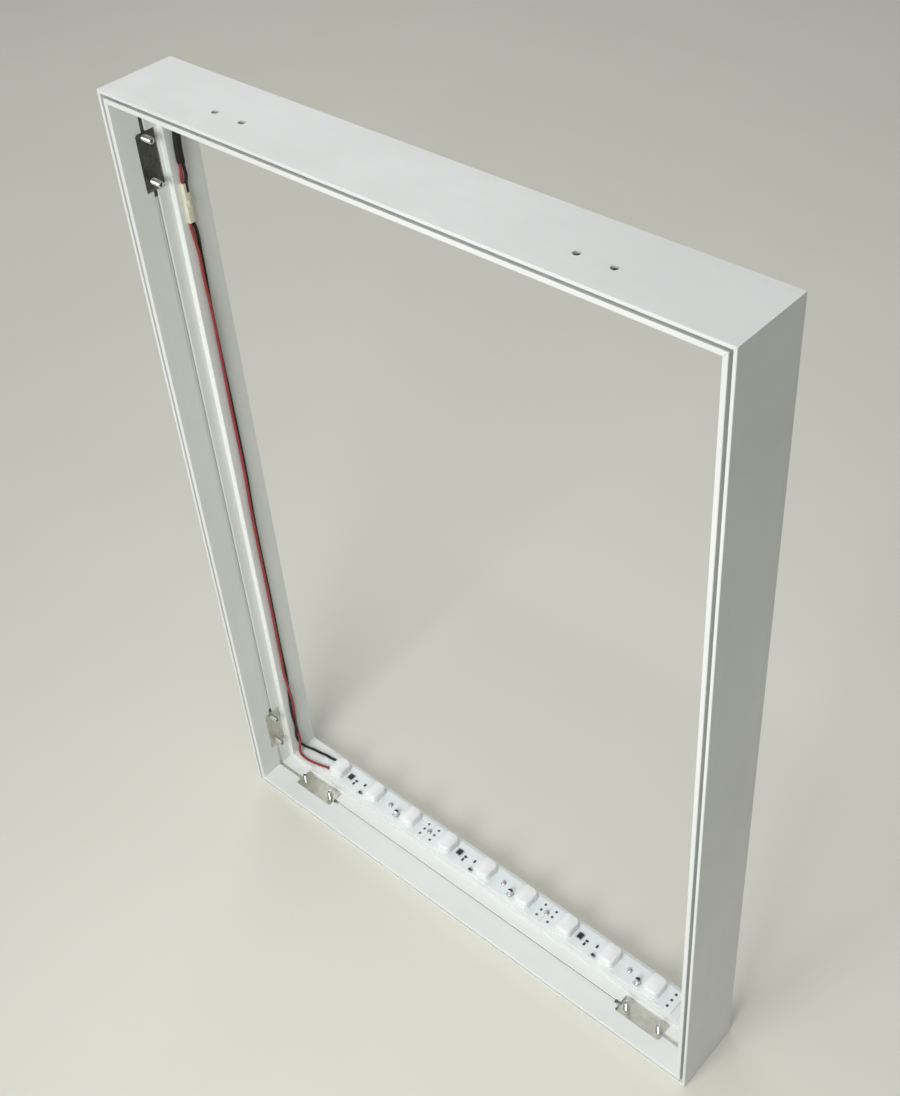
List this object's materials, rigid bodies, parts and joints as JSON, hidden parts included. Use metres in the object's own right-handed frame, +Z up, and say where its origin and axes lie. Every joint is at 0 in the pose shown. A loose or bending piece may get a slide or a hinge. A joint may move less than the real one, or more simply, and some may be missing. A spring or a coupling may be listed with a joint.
{
  "type": "fabric light box",
  "caption": "Upright rectangular aluminium light box frame with a front fabric groove, steel corner brackets and a lens-topped edge light bar on its bottom rail.",
  "frame": {"origin": "middle of the underside of the frame", "axes": "+X along the width to the right seen from the front, +Y from the front face to the back, +Z up"},
  "size_m": [0.594, 0.075, 0.841],
  "materials": {
    "white_coat": "white powder coat, satin with a fine texture, on aluminium",
    "zinc_strip": "zinc-plated rolled steel strip",
    "bright_steel": "bright zinc-plated steel",
    "board_white": "white solder mask, satin",
    "solder": "dull oxidised solder",
    "phosphor": "yellow phosphor",
    "lens_plastic": "opal moulded plastic",
    "chip_black": "black moulding compound",
    "rectifier_grey": "grey moulding compound",
    "can_aluminium": "drawn aluminium can with a black mark on top",
    "red_insulation": "red wire insulation",
    "black_insulation": "black wire insulation and jacket",
    "ivory_plastic": "ivory nylon",
    "grommet_rubber": "black rubber"
  },
  "bodies": {
    "root": {"top_rail": "white_coat", "bottom_rail": "white_coat", "left_rail": "white_coat", "right_rail": "white_coat", "bracket_top_left": "zinc_strip", "grub_screws_top_left": "bright_steel", "bracket_top_right": "zinc_strip", "grub_screws_top_right": "bright_steel", "bracket_bottom_left": "zinc_strip", "grub_screws_bottom_left": "bright_steel", "bracket_bottom_right": "zinc_strip", "grub_screws_bottom_right": "bright_steel", "led_board": "board_white", "board_screws": "bright_steel", "solder_pads": "solder", "led_chip_1": "phosphor", "lens_1": "lens_plastic", "led_chip_2": "phosphor", "lens_2": "lens_plastic", "led_chip_3": "phosphor", "lens_3": "lens_plastic", "led_chip_4": "phosphor", "lens_4": "lens_plastic", "led_chip_5": "phosphor", "lens_5": "lens_plastic", "led_chip_6": "phosphor", "lens_6": "lens_plastic", "led_chip_7": "phosphor", "lens_7": "lens_plastic", "led_chip_8": "phosphor", "lens_8": "lens_plastic", "led_chip_9": "phosphor", "lens_9": "lens_plastic", "driver_chip_1": "chip_black", "rectifier_1": "rectifier_grey", "chip_resistors_1": "chip_black", "capacitor_1": "can_aluminium", "driver_chip_2": "chip_black", "rectifier_2": "rectifier_grey", "chip_resistors_2": "chip_black", "capacitor_2": "can_aluminium", "driver_chip_3": "chip_black", "rectifier_3": "rectifier_grey", "chip_resistors_3": "chip_black", "capacitor_3": "can_aluminium", "red_wire": "red_insulation", "black_wire": "black_insulation", "connector_plug": "ivory_plastic", "connector_socket": "ivory_plastic", "supply_red_lead": "red_insulation", "supply_black_lead": "black_insulation", "supply_cable": "black_insulation", "cable_grommet": "grommet_rubber"}
  },
  "joints": []
}
